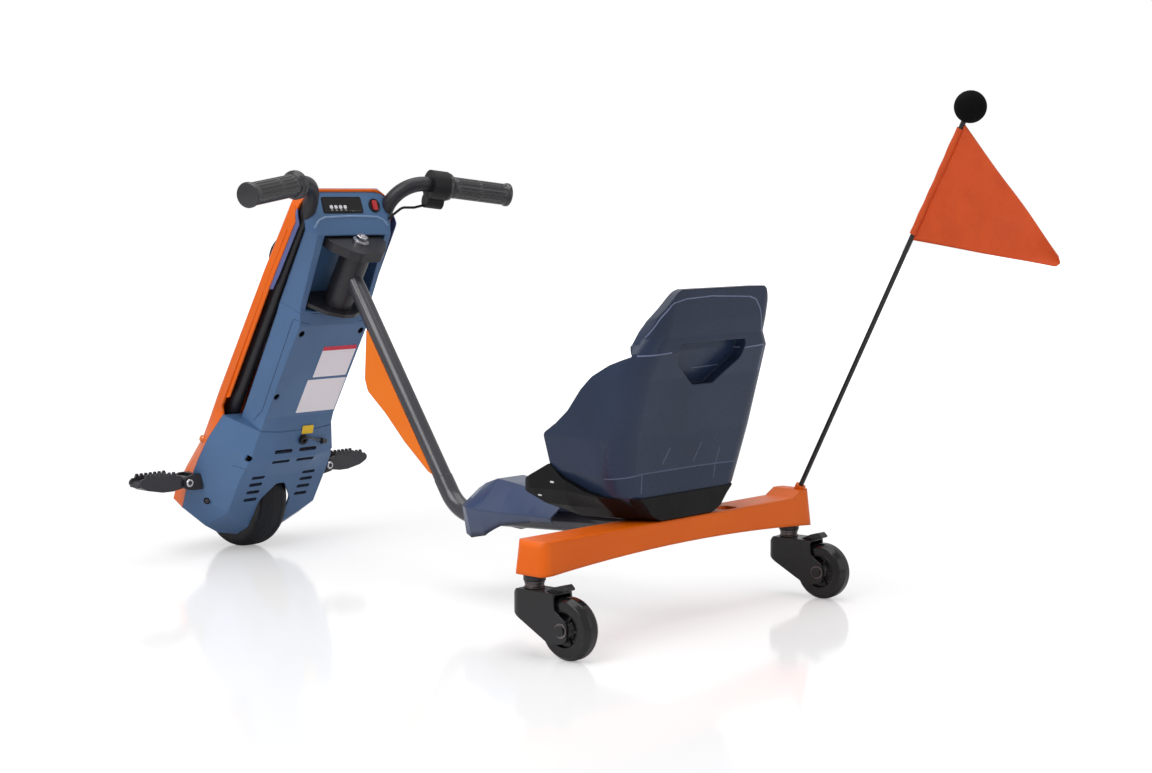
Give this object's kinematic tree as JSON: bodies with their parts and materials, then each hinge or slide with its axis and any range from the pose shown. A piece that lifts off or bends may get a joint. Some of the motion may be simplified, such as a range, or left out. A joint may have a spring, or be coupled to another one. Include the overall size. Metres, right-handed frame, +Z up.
{
  "type": "electric drift trike",
  "caption": "Low electric drift trike with a bucket seat, raked steering column with handlebars and foot pegs, driven front wheel, swivel rear casters and a safety flag.",
  "frame": {"origin": "on the ground under the middle of the overall length and width", "axes": "+X forward, +Y to the rider's left, +Z up"},
  "size_m": [1.3452, 0.5496, 0.6725],
  "materials": {
    "orange_plastic": "satin",
    "blue_plastic": "satin",
    "seat_plastic": "satin",
    "black_plastic": "textured",
    "black_steel": "gloss",
    "chrome": "polished",
    "rubber": "matte",
    "tyre": "matte",
    "cloth": "woven",
    "fibre_pole": "satin",
    "display_glass": "gloss",
    "red_switch": "gloss",
    "lens": "clear",
    "amber_lens": "clear",
    "battery_case": "plain",
    "peg_metal": "cast"
  },
  "bodies": {
    "frame": {"beam": "orange_plastic", "caster_collar_left": "black_steel", "caster_collar_right": "black_steel", "flag_pole": "fibre_pole", "flag_socket": "orange_plastic", "flag_ball": "black_plastic", "pennant": "cloth", "seat_shell": "seat_plastic", "seat_tub": "black_plastic", "frame_tube": "black_steel", "down_tube": "black_steel", "nose_fairing": "blue_plastic", "spine_cover": "black_plastic", "head_tube": "black_steel", "fin": "orange_plastic"},
    "steering": {"rear_cover": "blue_plastic", "lower_cover": "blue_plastic", "console": "blue_plastic", "front_shell_lower": "orange_plastic", "front_shell_upper": "orange_plastic", "display": "display_glass", "rocker_switch": "red_switch", "kingpin": "chrome", "fork": "black_steel", "bar_left": "black_steel", "bar_right": "black_steel", "grip_left": "rubber", "grip_right": "rubber", "throttle_housing": "black_plastic", "throttle_cable": "black_plastic", "headlight": "lens", "side_light_left": "amber_lens", "side_light_right": "amber_lens", "battery": "battery_case", "charge_port": "black_plastic", "bracket_upper": "black_steel", "bracket_lower": "black_steel", "peg_bracket_left": "black_steel", "peg_bracket_right": "black_steel"},
    "front_wheel": {"tyre": "tyre", "hub": "black_plastic"},
    "foot_peg_left": {"peg_left": "peg_metal"},
    "foot_peg_right": {"peg_right": "peg_metal"},
    "caster_left": {"caster_fork_left": "black_plastic"},
    "caster_wheel_body_left": {"caster_wheel_left": "tyre"},
    "caster_right": {"caster_fork_right": "black_plastic"},
    "caster_wheel_body_right": {"caster_wheel_right": "tyre"}
  },
  "joints": [
    {"name": "steering_turn", "type": "hinge", "parent": "frame", "child": "steering", "pos_m": [0.588, 0, 0], "axis": [-0.5, 0, 0.866], "range_deg": [-45, 45]},
    {"name": "front_wheel_spin", "type": "hinge", "parent": "steering", "child": "front_wheel", "pos_m": [0.58996, 0, 0.08], "axis": [0, 1, 0], "continuous": true},
    {"name": "foot_peg_left_fold", "type": "hinge", "parent": "steering", "child": "foot_peg_left", "pos_m": [0.566, 0.137, 0.115], "axis": [1, 0, 0], "range_deg": [0, 60]},
    {"name": "foot_peg_right_fold", "type": "hinge", "parent": "steering", "child": "foot_peg_right", "pos_m": [0.566, -0.137, 0.115], "axis": [-1, 0, 0], "range_deg": [0, 60]},
    {"name": "caster_left_swivel", "type": "hinge", "parent": "frame", "child": "caster_left", "pos_m": [-0.27, 0.252, 0.09], "axis": [0, 0, 1], "continuous": true},
    {"name": "caster_left_spin", "type": "hinge", "parent": "caster_left", "child": "caster_wheel_body_left", "pos_m": [-0.32496, 0.24999, 0.0375], "axis": [-0.0366, 0.9993, 0], "continuous": true},
    {"name": "caster_right_swivel", "type": "hinge", "parent": "frame", "child": "caster_right", "pos_m": [-0.27, -0.252, 0.09], "axis": [0, 0, 1], "continuous": true},
    {"name": "caster_right_spin", "type": "hinge", "parent": "caster_right", "child": "caster_wheel_body_right", "pos_m": [-0.32483, -0.25632, 0.0375], "axis": [-0.0785, 0.9969, 0], "continuous": true}
  ]
}
